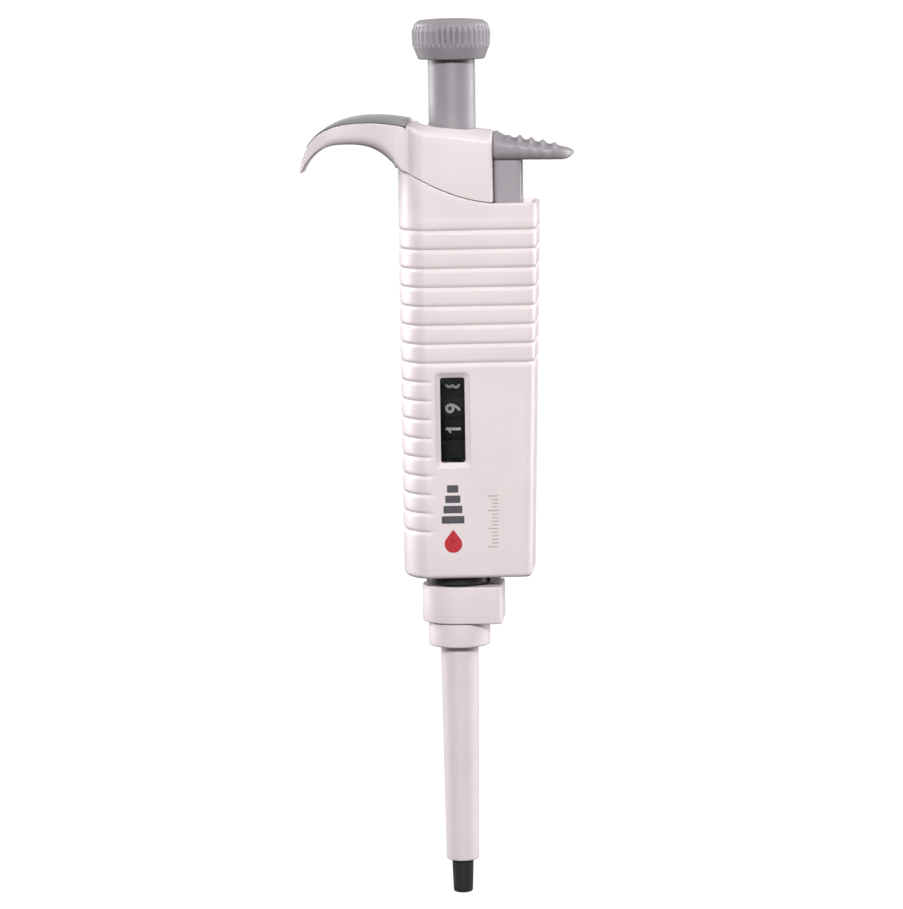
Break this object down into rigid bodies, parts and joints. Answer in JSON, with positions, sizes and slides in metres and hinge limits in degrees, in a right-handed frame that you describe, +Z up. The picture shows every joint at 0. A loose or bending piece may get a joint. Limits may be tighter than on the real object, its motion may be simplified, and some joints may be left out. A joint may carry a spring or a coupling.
{
  "type": "adjustable micropipette",
  "caption": "Adjustable air-displacement micropipette: ribbed handle with finger hook, push-button, volume counter window, side tip ejector and a slim ejector sleeve over the tip cone.",
  "frame": {"origin": "middle of the thumb face, on the plunger axis at the top of the push-button", "axes": "+Z up along the plunger axis from the tip cone to the push-button, +X from the plunger axis towards the tip ejector button, -Y towards the counter window"},
  "size_m": [0.0719, 0.026, 0.235],
  "materials": {
    "shell_white": "satin moulded plastic",
    "key_grey": "fine-textured moulded plastic",
    "pad_grey": "soft matt elastomer",
    "counter_black": "matt black moulded plastic",
    "drum_black": "matt black moulded plastic",
    "cone_black": "satin charcoal plastic",
    "lens_clear": "clear polished plastic",
    "seal_white": "waxy white fluoropolymer",
    "seal_rubber": "matt elastomer",
    "gear_white": "white acetal",
    "spring_steel": "drawn wire",
    "bright_steel": "ground and polished",
    "strip_steel": "rolled strip",
    "turned_brass": "fine turned"
  },
  "bodies": {
    "handle": {"handle_shell": "shell_white", "hook_cap": "shell_white", "hook_pad": "pad_grey", "stem_bush": "counter_black", "calibration_ring": "turned_brass", "top_bearing": "counter_black", "guide_sleeve": "counter_black", "spring_bracket": "counter_black", "counter_frame": "counter_black", "drum_arbor": "bright_steel", "window_lens": "lens_clear", "window_mask": "counter_black", "drum_blank": "drum_black", "pinion_axle": "bright_steel", "tip_cone": "cone_black", "cone_nut": "counter_black", "o_ring": "seal_rubber", "seal_ring": "seal_white", "seal_retainer": "turned_brass", "return_spring": "spring_steel", "blowout_spring": "spring_steel", "ejector_spring": "spring_steel"},
    "plunger": {"thrust_pad": "seal_white", "piston_head": "turned_brass", "piston": "bright_steel"},
    "rotor": {"plunger_knob": "key_grey", "knob_cap": "key_grey", "plunger_stem": "key_grey", "spindle": "bright_steel"},
    "nut": {"stop_nut": "turned_brass"},
    "blowout": {"blowout_plate": "bright_steel"},
    "units": {"drum_units": "drum_black"},
    "tens": {"drum_tens": "drum_black"},
    "hundreds": {"drum_hundreds": "drum_black"},
    "pinion_tens": {"carry_pinion_tens": "gear_white"},
    "pinion_hundreds": {"carry_pinion_hundreds": "gear_white"},
    "ejector": {"ejector_button": "key_grey", "ejector_stem": "key_grey", "ejector_rod": "strip_steel", "rod_collar": "counter_black", "ejector_yoke": "shell_white", "ejector_sleeve": "shell_white"}
  },
  "joints": [
    {"name": "plunger_press", "type": "slide", "parent": "handle", "child": "plunger", "axis": [0, 0, -1], "range_m": [0, 0.01527], "stiffness_N_per_m": 60, "springref_m": -0.012, "deforming": ["return_spring"]},
    {"name": "volume_turn", "type": "hinge", "parent": "plunger", "child": "rotor", "pos_m": [0, 0, 0], "axis": [0, 0, 1], "range_deg": [-6408, 72]},
    {"name": "stop_nut_travel", "type": "slide", "parent": "plunger", "child": "nut", "axis": [0, 0, 1], "range_m": [-0.01157, 0.00013]},
    {"name": "blowout_give", "type": "slide", "parent": "handle", "child": "blowout", "axis": [0, 0, -1], "range_m": [0, 0.0024], "stiffness_N_per_m": 200, "springref_m": -0.001, "deforming": ["blowout_spring"]},
    {"name": "units_turn", "type": "hinge", "parent": "handle", "child": "units", "pos_m": [0, 0, 0], "axis": [0, 0, 1], "range_deg": [-6408, 72]},
    {"name": "tens_turn", "type": "hinge", "parent": "handle", "child": "tens", "pos_m": [0, 0, 0], "axis": [0, 0, 1], "range_deg": [-640.8, 7.2]},
    {"name": "hundreds_turn", "type": "hinge", "parent": "handle", "child": "hundreds", "pos_m": [0, 0, 0], "axis": [0, 0, 1], "range_deg": [-64.08, 0.72]},
    {"name": "tens_pinion_turn", "type": "hinge", "parent": "handle", "child": "pinion_tens", "pos_m": [-0.011, 0, 0], "axis": [0, 0, 1], "range_deg": [-18, 1602]},
    {"name": "hundreds_pinion_turn", "type": "hinge", "parent": "handle", "child": "pinion_hundreds", "pos_m": [-0.011, 0, 0], "axis": [0, 0, 1], "range_deg": [-1.8, 160.2]},
    {"name": "ejector_press", "type": "slide", "parent": "handle", "child": "ejector", "axis": [0, 0, -1], "range_m": [0, 0.008], "stiffness_N_per_m": 80, "springref_m": -0.012, "deforming": ["ejector_spring"]}
  ],
  "couplings": [
    {"joint": "volume_turn", "follows": "stop_nut_travel", "rad_per_m": 9666.4},
    {"joint": "units_turn", "follows": "stop_nut_travel", "rad_per_m": 9666.4},
    {"joint": "tens_turn", "follows": "stop_nut_travel", "rad_per_m": 966.64},
    {"joint": "hundreds_turn", "follows": "stop_nut_travel", "rad_per_m": 96.664},
    {"joint": "tens_pinion_turn", "follows": "stop_nut_travel", "rad_per_m": -2416.6},
    {"joint": "hundreds_pinion_turn", "follows": "stop_nut_travel", "rad_per_m": -241.66}
  ]
}
